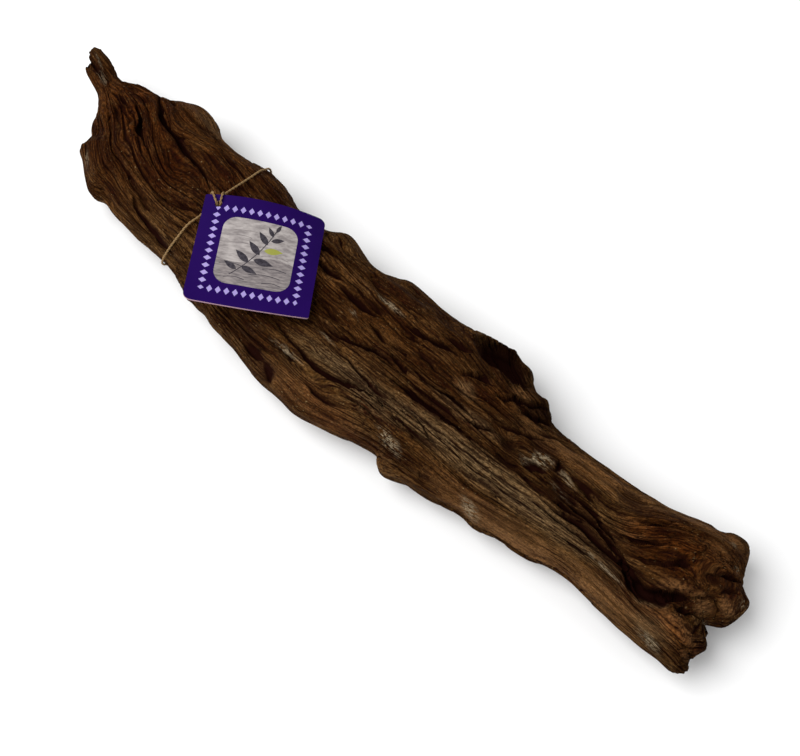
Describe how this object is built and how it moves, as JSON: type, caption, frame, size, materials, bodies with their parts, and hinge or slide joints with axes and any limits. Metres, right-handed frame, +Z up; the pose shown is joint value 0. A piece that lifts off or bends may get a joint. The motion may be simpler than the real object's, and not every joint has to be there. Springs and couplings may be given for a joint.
{
  "type": "driftwood log",
  "caption": "Weathered driftwood log with furrowed grain, a pointed end and a split end, and a square card tag tied round it with twine.",
  "frame": {"origin": "on the floor, below the middle of the whole object's box", "axes": "+X runs along the log from its pointed end to its split end, +Y to the side at the back, +Z up"},
  "size_m": [0.5434, 0.1158, 0.0622],
  "materials": {
    "wood": "weathered brown driftwood, matt, with grey ridges and dark furrows",
    "card": "printed card, purple with pale grey and lilac, satin",
    "twine": "two-ply jute twine, matt"
  },
  "bodies": {
    "root": {"driftwood_log": "wood", "hang_tag": "card", "tag_string": "twine"}
  },
  "joints": []
}
